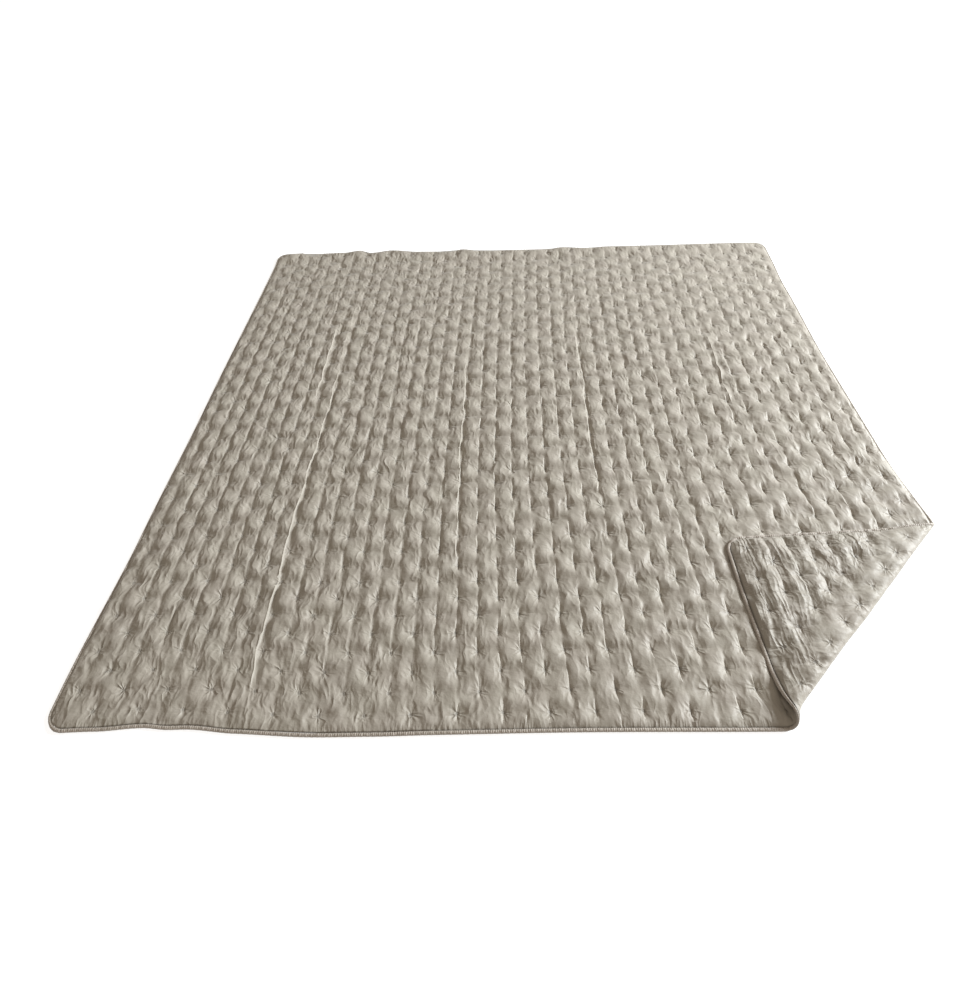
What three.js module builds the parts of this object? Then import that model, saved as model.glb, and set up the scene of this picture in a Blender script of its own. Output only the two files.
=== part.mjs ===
// A quilted bedspread that lies on a floor, with one front corner turned back over itself.
// Millimetres, +X to the right, +Y to the back, +Z up.
// The origin is the middle of the footprint, on the floor.
import * as THREE from "three";

// Quilting: tacks at every second crossing of evenly spaced columns and rows
const TACK_PITCH = 55.4;
const TACK_COLUMNS = 42;
const TACK_ROWS = 43;

// Outermost tacks to the rim of the quilted panel
const MARGIN = { side: 43, front: 41, back: 29 };
const CORNER_RADIUS = 46;

// Heights of the padded face above the backing, and how far grooves and tacks draw the backing in
const LOFT = { ridge: 11, groove: 7.5, tack: 4, rim: 5, backGroove: 1, backTack: 2 };
const RIM_SLOPE = 26;
const TACK_REACH = 0.6;

// Rolled binding round the rim
const BINDING = { halfWidth: 5.1, halfHeight: 3.6, middle: 3.8, gap: 0.6, sides: 6 };

// Turned corner: where its bend starts along both sides, and how high it comes to rest
const FOLD_LEG = 622;
const FLAP_CLEARANCE = 2.5;
const FLAP_EASE_RADIUS = 100;
const FLAP_SHEAR = 0.09;

// Bend of the turned corner, from the right side to the front side
const FOLD_SECTIONS = [
  { along: 0, radius: 14, slope: 4 },
  { along: 440, radius: 18, slope: 6 },
  { along: 880, radius: 25, slope: 8 },
];

// How far each side of the panel lies from its straight place: across for the left and right sides,
// lengthwise for the front and back ones
const SIDE_SHIFTS = {
  left: [
    { place: -1100, shift: -13 },
    { place: -600, shift: 3 },
    { place: 0, shift: 12 },
    { place: 1130, shift: 24 },
  ],
  right: [
    { place: -600, shift: -1 },
    { place: -250, shift: -15 },
    { place: 260, shift: -17 },
    { place: 780, shift: -3 },
    { place: 1130, shift: 15 },
  ],
  front: [
    { place: -1100, shift: 3 },
    { place: -880, shift: 3 },
    { place: -400, shift: -13 },
    { place: 130, shift: -8 },
    { place: 550, shift: -10 },
  ],
  back: [
    { place: -1170, shift: -24 },
    { place: -850, shift: -3 },
    { place: -130, shift: -8 },
    { place: 480, shift: -3 },
    { place: 1090, shift: 13 },
  ],
};

// Folds left by packing: raised lines from the front to the back, as column numbers of the tack lattice
const CREASES = [
  { front: 7.6, middle: 7.3, back: 7.0, from: -1150, to: 1150, height: 6 },
  { front: 15.6, middle: 15.4, back: 15.2, from: -300, to: 1100, height: 3 },
  { front: 23.6, middle: 23.6, back: 23.4, from: -1100, to: 900, height: 2.5 },
  { front: 32.8, middle: 32.6, back: 32.4, from: 200, to: 700, height: 3 },
];
const CREASE_WIDTH = 24;
const CREASE_FADE = 150;

// Satin
const CLOTH_COLOUR = 0xb3a795;
const CLOTH_ROUGHNESS = 0.5;

// Fineness of the solids
const RIM_LINE = 0.45;
const BEND_STEPS = 11;
const BEND_LENGTH = 72;
const FLAP_STEPS = 15;
const UNDERSIDE_INSET = 320;
const BEND_CLEARANCE = 7;

// Sizes that follow
const HALF_WIDTH = ((TACK_COLUMNS - 1) * TACK_PITCH) / 2 + MARGIN.side;
const HALF_LENGTH = ((TACK_ROWS - 1) * TACK_PITCH + MARGIN.front + MARGIN.back) / 2;
const FIRST_COLUMN = -HALF_WIDTH + MARGIN.side;
const FIRST_ROW = -HALF_LENGTH + MARGIN.front;
const FOLD_START = HALF_WIDTH + HALF_LENGTH - FOLD_LEG;
const FOLD_LENGTH = FOLD_LEG * Math.SQRT2;
const FLAP_DEPTH = FOLD_LENGTH / 2;
const FLAP_REST = 2 * LOFT.ridge + FLAP_CLEARANCE;

// Smooth value between the rows of a table, by one of its columns
function fromTable(rows, key, place, column) {
  const next = rows.findIndex((row) => row[key] > place);
  if (next === 0) return rows[0][column];
  if (next < 0) return rows[rows.length - 1][column];
  const before = rows[next - 1];
  const after = rows[next];
  const share = THREE.MathUtils.smoothstep(place, before[key], after[key]);
  return THREE.MathUtils.lerp(before[column], after[column], share);
}

// Where a point of the flat panel lies on the floor
function lie(u, v) {
  const across = (u + HALF_WIDTH) / (2 * HALF_WIDTH);
  const back = (v + HALF_LENGTH) / (2 * HALF_LENGTH);
  const left = fromTable(SIDE_SHIFTS.left, "place", v, "shift");
  const right = fromTable(SIDE_SHIFTS.right, "place", v, "shift");
  const near = fromTable(SIDE_SHIFTS.front, "place", u, "shift");
  const far = fromTable(SIDE_SHIFTS.back, "place", u, "shift");
  const x = u + THREE.MathUtils.lerp(left, right, across);
  const y = v + THREE.MathUtils.lerp(near, far, back);
  return new THREE.Vector2(x, y);
}

// Distance of a flat point past the start of the bend, and its place along the bend from the right side
function foldPlace(u, v) {
  const out = (u - v - FOLD_START) / Math.SQRT2;
  const along = (HALF_WIDTH - HALF_LENGTH + FOLD_LEG - u - v) / Math.SQRT2;
  return { out, along };
}

// Section across the bend: the backing goes round an arc, down a slope and eases out to rest
// on the layer below
function foldSection(out, along) {
  const radius = fromTable(FOLD_SECTIONS, "along", along, "radius");
  const slope = THREE.MathUtils.degToRad(fromTable(FOLD_SECTIONS, "along", along, "slope"));
  const arc = radius * (Math.PI + slope);
  if (out <= arc) {
    const turn = out / radius;
    return { x: radius * Math.sin(turn), z: radius * (1 - Math.cos(turn)), turn };
  }
  const crest = radius * (1 + Math.cos(slope));
  const easeDrop = FLAP_EASE_RADIUS * (1 - Math.cos(slope));
  const straight = (crest - FLAP_REST - easeDrop) / Math.sin(slope);
  const onSlope = Math.min(out - arc, straight);
  const eased = Math.min(Math.max(out - arc - straight, 0) / FLAP_EASE_RADIUS, slope);
  const level = Math.max(out - arc - straight - slope * FLAP_EASE_RADIUS, 0);
  const easeRun = FLAP_EASE_RADIUS * (Math.sin(slope) - Math.sin(slope - eased));
  const easeFall = FLAP_EASE_RADIUS * (Math.cos(slope - eased) - Math.cos(slope));
  return {
    x: -radius * Math.sin(slope) - onSlope * Math.cos(slope) - easeRun - level,
    z: crest - onSlope * Math.sin(slope) - easeFall,
    turn: Math.PI + slope - eased,
  };
}

// Point of the laid bedspread from its flat place and its height above the backing
function place(u, v, height) {
  const { out, along } = foldPlace(u, v);
  if (out <= 0) {
    const flat = lie(u, v);
    return new THREE.Vector3(flat.x, flat.y, height);
  }
  const start = lie(u - out / Math.SQRT2, v + out / Math.SQRT2);
  const section = foldSection(out, along);
  const reach = section.x - height * Math.sin(section.turn);
  const drift = FLAP_SHEAR * Math.max(-section.x, 0);
  return new THREE.Vector3(
    start.x + (reach - drift) / Math.SQRT2,
    start.y - (reach + drift) / Math.SQRT2,
    section.z + height * Math.cos(section.turn),
  );
}

// Rounds the corners of the flat panel by drawing its square corners in
function rounded(u, v) {
  const a = (Math.abs(u) - HALF_WIDTH) / CORNER_RADIUS + 1;
  const b = (Math.abs(v) - HALF_LENGTH) / CORNER_RADIUS + 1;
  if (a <= 0 || b <= 0) return { u, v };
  const draw = Math.max(a, b) / Math.hypot(a, b);
  return {
    u: Math.sign(u) * (HALF_WIDTH + CORNER_RADIUS * (a * draw - 1)),
    v: Math.sign(v) * (HALF_LENGTH + CORNER_RADIUS * (b * draw - 1)),
  };
}

// Outward direction of the rim, in the flat panel
function rimDirection(u, v) {
  const a = Math.max(Math.abs(u) - HALF_WIDTH + CORNER_RADIUS, 0);
  const b = Math.max(Math.abs(v) - HALF_LENGTH + CORNER_RADIUS, 0);
  return new THREE.Vector2(Math.sign(u) * a, Math.sign(v) * b).normalize();
}

// Distance from the rim, in the flat panel
function rimDistance(u, v) {
  const a = HALF_WIDTH - Math.abs(u);
  const b = HALF_LENGTH - Math.abs(v);
  if (a >= CORNER_RADIUS || b >= CORNER_RADIUS) return Math.min(a, b);
  return CORNER_RADIUS - Math.hypot(CORNER_RADIUS - a, CORNER_RADIUS - b);
}

// Height that packing folds add at a flat place
function creaseHeight(u, v) {
  const column = (u - FIRST_COLUMN) / TACK_PITCH;
  let height = 0;
  for (const crease of CREASES) {
    const line = v < 0
      ? THREE.MathUtils.mapLinear(v, -HALF_LENGTH, 0, crease.front, crease.middle)
      : THREE.MathUtils.mapLinear(v, 0, HALF_LENGTH, crease.middle, crease.back);
    const across = ((column - line) * TACK_PITCH) / CREASE_WIDTH;
    const start = THREE.MathUtils.smoothstep(v, crease.from, crease.from + CREASE_FADE);
    const end = 1 - THREE.MathUtils.smoothstep(v, crease.to - CREASE_FADE, crease.to);
    height += crease.height * start * end * Math.exp(-across * across);
  }
  return height;
}

// How near a flat place is to a groove between ridges, and to a tack in it: both 0 to 1
function quilting(u, v) {
  const column = (u - FIRST_COLUMN) / TACK_PITCH;
  const row = (v - FIRST_ROW) / TACK_PITCH;
  const nearest = Math.round(column);
  const pair = (row - ((nearest + 1) % 2)) / 2;
  const fromTack = 2 * Math.abs(pair - Math.round(pair));
  return {
    groove: 1 - Math.sin(Math.PI * Math.abs(column - nearest)),
    tack: 1 - THREE.MathUtils.smoothstep(fromTack, 0, TACK_REACH),
  };
}

// Height of the padded face above the backing
function faceHeight(u, v) {
  const { groove, tack } = quilting(u, v);
  const valley = THREE.MathUtils.lerp(LOFT.groove, LOFT.tack, tack);
  const padded = THREE.MathUtils.lerp(LOFT.ridge, valley, groove) + creaseHeight(u, v);
  const inside = Math.sqrt(THREE.MathUtils.clamp(rimDistance(u, v) / RIM_SLOPE, 0, 1));
  return THREE.MathUtils.lerp(LOFT.rim, padded, inside);
}

// Height of the backing's dimples: only the turned corner has them, the rest is pressed flat on the floor
function backHeight(u, v) {
  const { groove, tack } = quilting(u, v);
  const turned = THREE.MathUtils.smoothstep(foldPlace(u, v).out, 0, BEND_LENGTH / 2);
  const inside = THREE.MathUtils.clamp(rimDistance(u, v) / RIM_SLOPE, 0, 1);
  const depth = THREE.MathUtils.lerp(LOFT.backGroove, LOFT.backTack, tack);
  return depth * groove * turned * inside;
}

// Lines of the flat grid: the rim, one line in the margin, then the tacks with their steps between
function gridLines(half, firstMargin, lastMargin, count, stepsPerPitch) {
  const lines = [-half, -half + firstMargin * RIM_LINE];
  for (let step = 0; step <= (count - 1) * stepsPerPitch; step += 1) {
    lines.push(-half + firstMargin + (step * TACK_PITCH) / stepsPerPitch);
  }
  lines.push(half - lastMargin * RIM_LINE, half);
  return lines;
}

// Lines of the turned corner: short steps round the bend, then even ones to the tip
function flapLines() {
  const lines = [];
  for (let step = 0; step < BEND_STEPS; step += 1) lines.push((BEND_LENGTH * step) / BEND_STEPS);
  for (let step = 0; step <= FLAP_STEPS; step += 1) {
    lines.push(THREE.MathUtils.lerp(BEND_LENGTH, FLAP_DEPTH, step / FLAP_STEPS));
  }
  return lines;
}

// Collects shared points and triangles of one closed solid
class Solid {
  constructor() {
    this.points = [];
    this.triangles = [];
  }

  add(point) {
    this.points.push(point.x, point.y, point.z);
    return this.points.length / 3 - 1;
  }

  triangle(a, b, c) {
    this.triangles.push(a, b, c);
  }

  quad(a, b, c, d) {
    this.triangle(a, b, c);
    this.triangle(a, c, d);
  }

  geometry() {
    const geometry = new THREE.BufferGeometry();
    geometry.setAttribute("position", new THREE.Float32BufferAttribute(this.points, 3));
    geometry.setIndex(this.triangles);
    geometry.computeVertexNormals();
    return geometry;
  }
}

// A place of the flat panel with its points on the face and, where asked, on the backing
function sheetPoint(solid, flatU, flatV, withBack) {
  const { u, v } = rounded(flatU, flatV);
  const face = solid.add(place(u, v, faceHeight(u, v)));
  const back = withBack ? solid.add(place(u, v, backHeight(u, v))) : null;
  return { u, v, face, back, along: foldPlace(u, v).along };
}

// Joins two rows of points that run side by side along the bend
function zip(solid, rowA, rowB) {
  let a = 0;
  let b = 0;
  while (a < rowA.length - 1 || b < rowB.length - 1) {
    const advanceA = b === rowB.length - 1
      || (a < rowA.length - 1 && rowA[a + 1].along <= rowB[b + 1].along);
    if (advanceA) {
      solid.triangle(rowA[a].face, rowA[a + 1].face, rowB[b].face);
      a += 1;
    } else {
      solid.triangle(rowA[a].face, rowB[b + 1].face, rowB[b].face);
      b += 1;
    }
  }
}

// Face of the flat part: whole grid cells behind the bend.
// Returns its rim and its stepped edge along the bend
function addFlatFace(solid) {
  const uLines = gridLines(HALF_WIDTH, MARGIN.side, MARGIN.side, TACK_COLUMNS, 2);
  const vLines = gridLines(HALF_LENGTH, MARGIN.front, MARGIN.back, TACK_ROWS, 1);
  const lastU = uLines.length - 1;
  const lastV = vLines.length - 1;
  const isFlat = (i, j) => foldPlace(uLines[i], vLines[j]).out < -BEND_CLEARANCE;
  const grid = uLines.map((u, i) => vLines.map((v, j) => {
    const onRim = i === 0 || j === 0 || i === lastU || j === lastV;
    return isFlat(i, j) ? sheetPoint(solid, u, v, onRim) : null;
  }));
  for (let i = 0; i < lastU; i += 1) {
    for (let j = 0; j < lastV; j += 1) {
      if (!isFlat(i + 1, j)) continue;
      solid.quad(grid[i][j].face, grid[i + 1][j].face, grid[i + 1][j + 1].face, grid[i][j + 1].face);
    }
  }
  const rim = [];
  for (let j = lastV; j > 0; j -= 1) rim.push(grid[0][j]);
  for (let i = 0; i <= lastU && grid[i][0]; i += 1) rim.push(grid[i][0]);
  const rightRim = [];
  for (let j = 0; j < lastV; j += 1) if (grid[lastU][j]) rightRim.push(grid[lastU][j]);
  for (let i = lastU; i > 0; i -= 1) rightRim.push(grid[i][lastV]);
  const stepped = [];
  for (let j = lastV; j >= 0; j -= 1) {
    const edge = uLines.findLastIndex((u, i) => isFlat(i, j));
    const edgeBelow = j > 0 ? uLines.findLastIndex((u, i) => isFlat(i, j - 1)) : edge;
    if (edgeBelow === lastU) continue;
    for (let i = edge; i >= edgeBelow; i -= 1) stepped.push(grid[i][j]);
  }
  return { leftAndFront: rim, rightAndBack: rightRim, stepped };
}

// Both faces of the turned corner.
// Returns its start line and its rim from the front side round to the right side
function addFlap(solid) {
  const lines = flapLines();
  const last = lines.length - 1;
  const alongLines = [...lines, ...lines.slice(0, last).reverse().map((line) => FOLD_LENGTH - line)];
  const rows = lines.map((out, step) => {
    const row = [];
    for (let k = step; k <= 2 * last - step; k += 1) {
      const sum = HALF_WIDTH - HALF_LENGTH + FOLD_LEG - alongLines[k] * Math.SQRT2;
      const difference = FOLD_START + out * Math.SQRT2;
      row.push(sheetPoint(solid, (sum + difference) / 2, (sum - difference) / 2, true));
    }
    return row;
  });
  for (let step = 0; step < last; step += 1) {
    const row = rows[step];
    const inner = rows[step + 1];
    for (const side of ["face", "back"]) {
      const put = (a, b, c) => (side === "face"
        ? solid.triangle(a[side], b[side], c[side])
        : solid.triangle(a[side], c[side], b[side]));
      for (let k = 0; k < inner.length - 1; k += 1) {
        put(row[k + 1], row[k + 2], inner[k + 1]);
        put(row[k + 1], inner[k + 1], inner[k]);
      }
      put(row[0], row[1], inner[0]);
      put(row[row.length - 2], row[row.length - 1], inner[inner.length - 1]);
    }
  }
  const frontSide = rows.map((row) => row[row.length - 1]);
  const rightSide = rows.slice(0, last).map((row) => row[0]).reverse();
  return { start: rows[0], rim: [...frontSide, ...rightSide] };
}

// Flat underside: a fan of triangles from a few inner points out to its edge
function addUnderside(solid, edge) {
  const inside = [
    [-1, -1],
    [1 - FOLD_LEG / HALF_WIDTH, -1],
    [1, FOLD_LEG / HALF_LENGTH - 1],
    [1, 1],
    [-1, 1],
  ].map(([a, b]) => {
    const u = a * (HALF_WIDTH - UNDERSIDE_INSET);
    const v = b * (HALF_LENGTH - UNDERSIDE_INSET);
    return { u, v, back: solid.add(place(u, v, 0)) };
  });
  const nearest = (point) => {
    const distances = inside.map((p) => Math.hypot(p.u - point.u, p.v - point.v));
    return distances.indexOf(Math.min(...distances));
  };
  edge.forEach((point, k) => {
    const next = edge[(k + 1) % edge.length];
    const from = nearest(point);
    const to = nearest(next);
    solid.triangle(point.back, inside[from].back, next.back);
    if (from !== to) solid.triangle(next.back, inside[from].back, inside[to].back);
  });
  for (let k = 1; k < inside.length - 1; k += 1) {
    solid.triangle(inside[0].back, inside[k + 1].back, inside[k].back);
  }
}

// Quilted panel: padded face, underside and side wall. Returns the solid and its rim
function makeQuilt() {
  const solid = new Solid();
  const flat = addFlatFace(solid);
  const flap = addFlap(solid);
  zip(solid, flat.stepped, flap.start);
  const rim = [...flat.leftAndFront, ...flap.rim, ...flat.rightAndBack];
  addUnderside(solid, [...flat.leftAndFront, ...[...flap.start].reverse(), ...flat.rightAndBack]);
  rim.forEach((point, k) => {
    const next = rim[(k + 1) % rim.length];
    solid.quad(point.back, next.back, next.face, point.face);
  });
  return { solid, rim };
}

// Binding: a rounded roll that follows the rim, a little off it
function makeBinding(rim) {
  const solid = new Solid();
  const step = (2 * Math.PI) / BINDING.sides;
  const inner = BINDING.halfWidth * Math.cos(step / 2);
  const rings = rim.map(({ u, v }) => {
    const outward = rimDirection(u, v);
    const ring = [];
    for (let side = 0; side < BINDING.sides; side += 1) {
      const angle = (side + 0.5) * step;
      const reach = BINDING.gap + inner + BINDING.halfWidth * Math.cos(angle);
      const height = BINDING.middle + BINDING.halfHeight * Math.sin(angle);
      ring.push(solid.add(place(u + reach * outward.x, v + reach * outward.y, height)));
    }
    return ring;
  });
  rings.forEach((ring, k) => {
    const next = rings[(k + 1) % rings.length];
    ring.forEach((point, side) => {
      const other = (side + 1) % BINDING.sides;
      solid.quad(ring[other], point, next[side], next[other]);
    });
  });
  return solid;
}

function clothMesh(name, solid) {
  const look = { color: CLOTH_COLOUR, roughness: CLOTH_ROUGHNESS, metalness: 0 };
  const material = new THREE.MeshStandardMaterial(look);
  const mesh = new THREE.Mesh(solid.geometry(), material);
  mesh.name = name;
  return mesh;
}

const quilt = makeQuilt();
const group = new THREE.Group();
group.add(clothMesh("quilt", quilt.solid));
group.add(clothMesh("binding", makeBinding(quilt.rim)));

// The footprint's middle comes to the origin
const box = new THREE.Box3().setFromObject(group);
const middle = box.getCenter(new THREE.Vector3());
group.children.forEach((mesh) => mesh.geometry.translate(-middle.x, -middle.y, -box.min.z));

export default group;
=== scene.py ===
import math

import bpy
import numpy as np
from mathutils import Matrix


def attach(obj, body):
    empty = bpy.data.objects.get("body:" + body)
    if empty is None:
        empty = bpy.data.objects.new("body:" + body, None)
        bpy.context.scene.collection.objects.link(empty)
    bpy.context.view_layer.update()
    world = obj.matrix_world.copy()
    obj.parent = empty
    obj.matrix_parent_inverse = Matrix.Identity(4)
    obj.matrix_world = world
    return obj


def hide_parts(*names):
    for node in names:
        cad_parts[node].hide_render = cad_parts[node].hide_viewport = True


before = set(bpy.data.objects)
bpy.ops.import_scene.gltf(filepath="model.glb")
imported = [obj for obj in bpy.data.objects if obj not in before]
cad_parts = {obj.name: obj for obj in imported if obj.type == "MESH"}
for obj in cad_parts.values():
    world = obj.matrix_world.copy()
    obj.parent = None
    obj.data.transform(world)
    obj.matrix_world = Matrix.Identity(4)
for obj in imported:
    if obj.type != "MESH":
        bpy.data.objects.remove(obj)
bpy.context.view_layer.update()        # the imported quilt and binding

# Sizes are in millimetres, as in the part's source, and go into meshes through MM
MM = 0.001
ROOT2 = math.sqrt(2)

# Quilting: tacks at every second crossing of evenly spaced columns and rows
TACK_PITCH = 55.4
TACK_COLUMNS = 42
TACK_ROWS = 43
MARGIN = {"side": 43, "front": 41, "back": 29}
CORNER_RADIUS = 46

# Heights above the backing, and how far the backing is drawn up at its tacks
LOFT = {"tack": 2.4, "rim": 5.0, "low": 1.6, "under_flap": 8.0}
RIM_SLOPE = 8
BACK_DRAW = 2.2

# Rolled binding round the rim: its section and mesh, the least it keeps, and where it is slimmer
BINDING = {"half_width": 5.1, "half_height": 3.6, "middle": 3.8, "gap": 0.6, "step": 1.95, "sides": 10}
LEAST_BINDING = {"reach": 0.35, "height": 0.15}
SLIM_BINDING = {"share": 0.3, "facing": (0.3, 0.9), "before_fold": 40}

# Uneven cross puckers of the binding, deepest on its top and leaning a little
BINDING_PUCKERS = (
    {"length": 5.7, "sway": 1.9, "sway_length": 37, "depth": 0.3},
    {"length": 14.3, "sway": 2.3, "sway_length": 83, "depth": 0.3},
)
PUCKER_TOP = 0.4
PUCKER_LEAN = 1.5

# Threads: half lengths of the tacks, the long ones on the left, and the seam along the binding
TACK_THREAD = {"long": 9.5, "short": 5.5, "under": 4.0, "lean": 0.08, "radius": 0.5, "past_fold": 8}
LONG_TACKS = {"left_of": 350, "scatter": 200}
SEAM = {"step": 4.2, "half_length": 1.5, "angle": 128, "radius": 0.4}
THREAD_SIDES = 4

# Turned corner: its bend, its free edge that drops to the layer below, and the small ruffles there
FOLD_LEG = 622
FLAP_REST = 24
FLAP_EASE_RADIUS = 100
FLAP_SHEAR = 0.09
FLAP_EDGE = {"from": 70, "to": 140, "drop": 8.5, "width": 62}
FLAP_RUFFLE = {
    "from": 60, "to": 140, "rim": (4, 46), "depth": 0.8, "length": 4.6, "sway": 2.1, "sway_length": 31,
}
FOLD_SECTIONS = (
    {"along": 0, "radius": 15, "slope": 4},
    {"along": 440, "radius": 17, "slope": 6},
    {"along": 880, "radius": 18, "slope": 10},
)

# The face pressed down under the turned corner
PRESSED = {"from": -20, "to": 4, "share": 0.95}

# How far the turned corner lies to the right of its straight place, along the bend from the right side
CORNER_DRIFT = (
    {"along": 0, "shift": 8},
    {"along": 220, "shift": 1},
    {"along": 440, "shift": -3},
    {"along": 600, "shift": -9},
    {"along": 790, "shift": -10},
    {"along": 880, "shift": 18},
)
DRIFT_EASE = 160

# How far each side of the panel lies from its straight place
SIDE_SHIFTS = {
    "left": (
        {"place": -1100, "shift": -13},
        {"place": -600, "shift": 3},
        {"place": 0, "shift": 12},
        {"place": 1130, "shift": 24},
    ),
    "right": (
        {"place": -600, "shift": -1},
        {"place": -250, "shift": -15},
        {"place": 260, "shift": -17},
        {"place": 780, "shift": -3},
        {"place": 1130, "shift": 15},
    ),
    "front": (
        {"place": -1100, "shift": 3},
        {"place": -880, "shift": 3},
        {"place": -400, "shift": -13},
        {"place": 130, "shift": -8},
        {"place": 550, "shift": -10},
    ),
    "back": (
        {"place": -1170, "shift": -24},
        {"place": -850, "shift": -3},
        {"place": -130, "shift": -8},
        {"place": 480, "shift": -3},
        {"place": 1090, "shift": 13},
    ),
}

# Waves of the front edge, which soon fade inside the panel
FRONT_WAVES = (
    {"place": -1161, "shift": -4},
    {"place": -1060, "shift": -1},
    {"place": -942, "shift": 7},
    {"place": -880, "shift": 2},
    {"place": -835, "shift": 3},
    {"place": -720, "shift": -4},
    {"place": -570, "shift": -6},
    {"place": -400, "shift": -2},
    {"place": -250, "shift": 0},
)
FRONT_WAVE_DEPTH = 150

# Waves of the back edge, which is also lifted where it lies further back
BACK_WAVES = (
    {"place": -1073, "shift": 15},
    {"place": -1015, "shift": -6},
    {"place": -957, "shift": 6},
    {"place": -860, "shift": 6},
    {"place": -782, "shift": 15},
    {"place": -724, "shift": 3},
    {"place": -617, "shift": 14},
    {"place": -490, "shift": 5},
    {"place": -340, "shift": 4},
    {"place": -270, "shift": 14},
    {"place": -190, "shift": 6},
    {"place": 140, "shift": 6},
    {"place": 215, "shift": 14},
    {"place": 330, "shift": 8},
    {"place": 440, "shift": 13},
    {"place": 1140, "shift": 10},
)
BACK_WAVE_DEPTH = 110
BACK_WAVE_LIFT = 0.5

# How far the quilting lies from its straight place inside the panel: to the left, most in the middle,
# and no longer near the bend of the turned corner
DRIFT_BACK = (
    {"place": -1180, "shift": -2},
    {"place": -880, "shift": -17},
    {"place": -600, "shift": -27},
    {"place": -270, "shift": -25},
    {"place": 230, "shift": -18},
    {"place": 1190, "shift": -12},
)
DRIFT_ACROSS = (
    {"place": -1180, "share": 0.0},
    {"place": -910, "share": 0.55},
    {"place": -690, "share": 1.0},
    {"place": 530, "share": 1.0},
    {"place": 750, "share": 0.45},
    {"place": 920, "share": 0.0},
)
DRIFT_END = (-350, -60)

# Folds left by packing: raised lines, as column numbers of the tack lattice and widths of the steep side
# at the front, in the middle and at the back
CREASES = (
    {"column": (7.7, 7.9, 7.3), "from": -1150, "to": 1190, "height": 1.3, "width": (2.6, 3.2, 30)},
    {"column": (6.8, 6.75, 6.6), "from": 10, "to": 580, "height": 2.2, "width": (4, 4, 6)},
    {"column": (16.85, 16.85, 16.6), "from": -750, "to": 320, "height": 0.8, "width": (4, 4, 4)},
    {"column": (24.8, 24.9, 24.6), "from": -520, "to": 540, "height": 0.6, "width": (5, 5, 5)},
    {"column": (34.1, 34.2, 34.6), "from": -80, "to": 470, "height": 2.0, "width": (9, 9, 9)},
)
CREASE_KINK = 0.05
CREASE_RISE = 17
CREASE_FADE = 150
CREASE_WAVER = {"share": 0.2, "length": 47, "sway": 2, "sway_length": 83}
CREASE_AT_TACKS = 0.8
NARROW_CREASE = 7
SHARPEST_CREASE = 2.2
NO_CREASE = 99.0

# Satin drawn level on the steep side of a packing fold, less beside wide ones
CREASE_LEVEL = {"share": 0.8, "spare": 1, "reach": 22, "before": 3, "after": 6, "most": 1.2, "wide": 20}

# Steep lips of the puffs are shaded sharp, apart from those at the left and the back
SHARP_LIP = 24
SOFT_LIPS = {"left_of": -250, "behind": 250, "past_crest": 2}

# Gathers of the satin before it settles. From left to right: loft between tacks, how far the grooves carry
# on from tack to tack, share of the arc folds, and how steep the walls of the pits are
GATHER = {"left_wall": 0.28, "right_wall": 0.7, "pit": (7, 30), "pit_end": (5, 28)}
GATHER_ACROSS = (
    {"place": -1180, "loft": 9.0, "carry": 0.42, "arcs": 0.9, "pit_wall": 1.15},
    {"place": -500, "loft": 8.8, "carry": 0.2, "arcs": 1.0, "pit_wall": 1.0},
    {"place": 0, "loft": 8.6, "carry": 0.03, "arcs": 1.0, "pit_wall": 0.7},
    {"place": 400, "loft": 8.0, "carry": 0.0, "arcs": 1.0, "pit_wall": 0.42},
    {"place": 1180, "loft": 6.8, "carry": 0.0, "arcs": 0.9, "pit_wall": 0.4},
)
ARC_FOLD = {"height": 3.0, "rise": 16, "fall": 6, "roundness": 2.4}
ROW_VALLEY = {"depth": 0.55, "width": 10, "reach": (0.3, 1.3)}

# Lower puffs in the front rows, most on the left, and in the back rows
FRONT_ROWS = {"from": -1160, "to": -860, "across": (-600, 300), "left": 0.42, "right": 0.9}
BACK_ROWS = {"from": 250, "to": 1150, "loft": 0.55, "carry": 0.55}

# Gathers of the backing on the turned corner, tauter at the bend
BACKING_GATHER = {
    "loft": 10.0, "carry": 0.7, "taut": 0.4, "from": 60, "to": 190, "ridge": 1.9, "ridge_stretch": 0.25,
    "pit_wall": 1.0, "valley": 0.28, "starts": (10, 90), "lowest": -0.5,
}
TURNED_SPARE = 12

# Unevenness of the gathers: its middle and strength, the size of its patches, its waves and its limits
UNEVEN = {
    "loft": {"middle": 1, "strength": 0.18, "size": 170, "waves": 8, "limits": (0, 2)},
    "carry": {"middle": 0, "strength": 0.15, "size": 300, "waves": 8, "limits": (-1, 1)},
    "valley": {"middle": 0.9, "strength": 0.35, "size": 150, "waves": 8, "limits": (0.2, 1.5)},
    "groove": {"middle": 0, "strength": 2.0, "size": 70, "waves": 10, "limits": (-2.8, 2.8)},
    "arcs": {"middle": 0.8, "strength": 0.5, "size": 140, "waves": 8, "limits": (0, 1.5)},
    "backing": {"middle": 1, "strength": 0.25, "size": 170, "waves": 8, "limits": (0, 2)},
    "ridges": {"middle": 0, "strength": 1, "size": 27, "waves": 10, "limits": (-4, 4)},
}
SATIN_JITTER = 0.3

# Settling of the satin
SATIN_SLACK = 0.012
SETTLING_FRAMES = 14
SETTLED_EASE = 0.2

# Fineness of the sewn face: steps within one pitch, and shares of a margin
STEPS_ACROSS = (0, 5.5, 13.0, 22.0, 31.5, 40.5, 47.5, 51.9)
STEPS_BACK = (0, 9.233, 18.467, 27.7, 36.933, 46.167)
MARGIN_SHARES = (0, 0.1, 0.28, 0.5, 0.75)
COARSE_LINES = 4

# Widths of cloth that the UV maps of the panel and the binding span
PANEL_SPAN = 2500
BINDING_SPAN = 12000

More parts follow.
